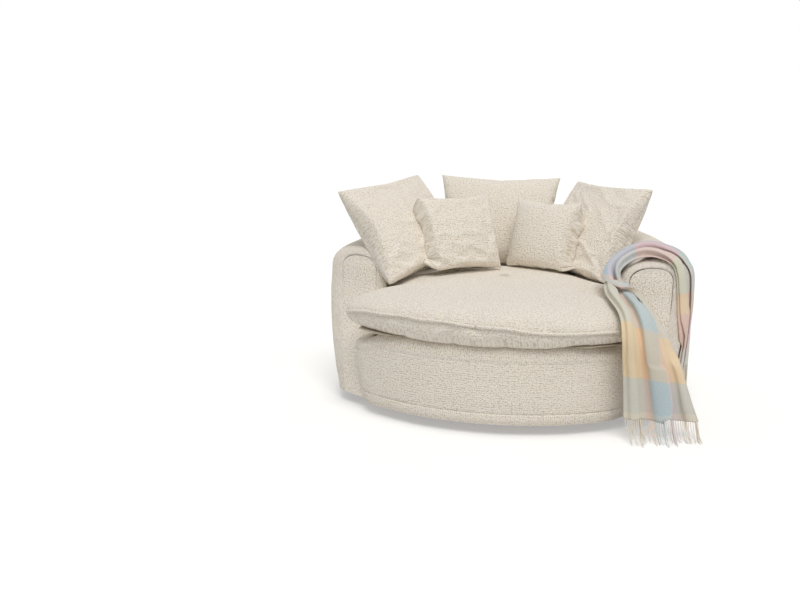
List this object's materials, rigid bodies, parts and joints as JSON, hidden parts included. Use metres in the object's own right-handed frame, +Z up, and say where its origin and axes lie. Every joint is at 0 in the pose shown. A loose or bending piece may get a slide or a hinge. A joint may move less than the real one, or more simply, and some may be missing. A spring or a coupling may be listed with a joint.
{
  "type": "lounge armchair",
  "caption": "Wide round lounge armchair: C-shaped padded arm and back, bowed sprung base, crowned piped seat cushion, loose scatter cushions and a fringed throw over one arm",
  "frame": {"origin": "On the floor, on the plane of symmetry of the frame, at the centre of the round back: the sole of the middle foot", "axes": "+Z up; the chair faces -Y; +X is to the right seen from in front"},
  "size_m": [1.5001, 1.3119, 0.8623],
  "materials": {
    "boucle": "nubby cream boucle with fine woven ribs",
    "foam": "upholstery foam",
    "fibre": "loose fibre filling",
    "plywood": "raw plywood",
    "pine": "raw pine",
    "spring_steel": "plain spring wire",
    "black_plastic": "matt",
    "black_cloth": "thin non-woven cloth",
    "platform_cloth": "plain platform cloth",
    "zip_tape": "woven tape",
    "plaid_wool": "soft brushed plaid",
    "wool_fringe": "loose yarn fringe"
  },
  "bodies": {
    "frame": {"arm_back_cover": "boucle", "arm_front_panel_left": "boucle", "arm_front_panel_right": "boucle", "apron_cover": "boucle", "arm_back_foam": "foam", "arm_front_pad_left": "foam", "arm_front_pad_right": "foam", "apron_foam": "foam", "deck_pad": "foam", "arm_front_board_left": "plywood", "arm_front_board_right": "plywood", "cap_rail": "plywood", "bottom_board": "plywood", "front_rail": "plywood", "seat_rail": "plywood", "wall_post_1": "pine", "wall_post_2": "pine", "wall_post_3": "pine", "wall_post_4": "pine", "wall_post_5": "pine", "wall_post_6": "pine", "wall_post_7": "pine", "seat_spring_1": "spring_steel", "seat_spring_2": "spring_steel", "seat_spring_3": "spring_steel", "seat_spring_4": "spring_steel", "seat_spring_5": "spring_steel", "seat_spring_6": "spring_steel", "foot_middle": "black_plastic", "foot_1": "black_plastic", "foot_2": "black_plastic", "foot_3": "black_plastic", "foot_4": "black_plastic", "foot_5": "black_plastic", "dust_cloth": "black_cloth", "deck_cloth": "platform_cloth"},
    "seat_cushion": {"seat_cover": "boucle", "seat_core": "foam", "seat_piping": "boucle", "seat_zip": "zip_tape"},
    "back_cushion_centre": {"back_cushion_centre_cover": "boucle", "back_cushion_centre_insert": "fibre", "back_cushion_centre_zip": "zip_tape"},
    "back_cushion_left": {"back_cushion_left_cover": "boucle", "back_cushion_left_insert": "fibre", "back_cushion_left_zip": "zip_tape"},
    "back_cushion_right": {"back_cushion_right_cover": "boucle", "back_cushion_right_insert": "fibre", "back_cushion_right_zip": "zip_tape"},
    "small_cushion_left": {"small_cushion_left_cover": "boucle", "small_cushion_left_insert": "fibre", "small_cushion_left_zip": "zip_tape"},
    "small_cushion_right": {"small_cushion_right_cover": "boucle", "small_cushion_right_insert": "fibre", "small_cushion_right_zip": "zip_tape"},
    "throw": {"throw": "plaid_wool", "throw_fringe_front": "wool_fringe", "throw_fringe_side": "wool_fringe"}
  },
  "joints": [
    {"name": "seat_cushion_lift", "type": "slide", "parent": "frame", "child": "seat_cushion", "axis": [0, 0, 1], "range_m": [0, 0.25]},
    {"name": "back_cushion_centre_lift", "type": "slide", "parent": "seat_cushion", "child": "back_cushion_centre", "axis": [-0.0584, 0.4265, 0.9026], "range_m": [0, 0.15]},
    {"name": "back_cushion_left_lift", "type": "slide", "parent": "seat_cushion", "child": "back_cushion_left", "axis": [-0.4944, 0.3645, 0.7891], "range_m": [0, 0.15]},
    {"name": "back_cushion_right_lift", "type": "slide", "parent": "seat_cushion", "child": "back_cushion_right", "axis": [0.5075, 0.2488, 0.825], "range_m": [0, 0.15]},
    {"name": "small_cushion_left_lift", "type": "slide", "parent": "seat_cushion", "child": "small_cushion_left", "axis": [-0.2187, 0.286, 0.9329], "range_m": [0, 0.2]},
    {"name": "small_cushion_right_lift", "type": "slide", "parent": "seat_cushion", "child": "small_cushion_right", "axis": [0.1241, 0.2775, 0.9527], "range_m": [0, 0.2]},
    {"name": "throw_lift", "type": "slide", "parent": "seat_cushion", "child": "throw", "axis": [0, 0, 1], "range_m": [0, 0.3]}
  ]
}
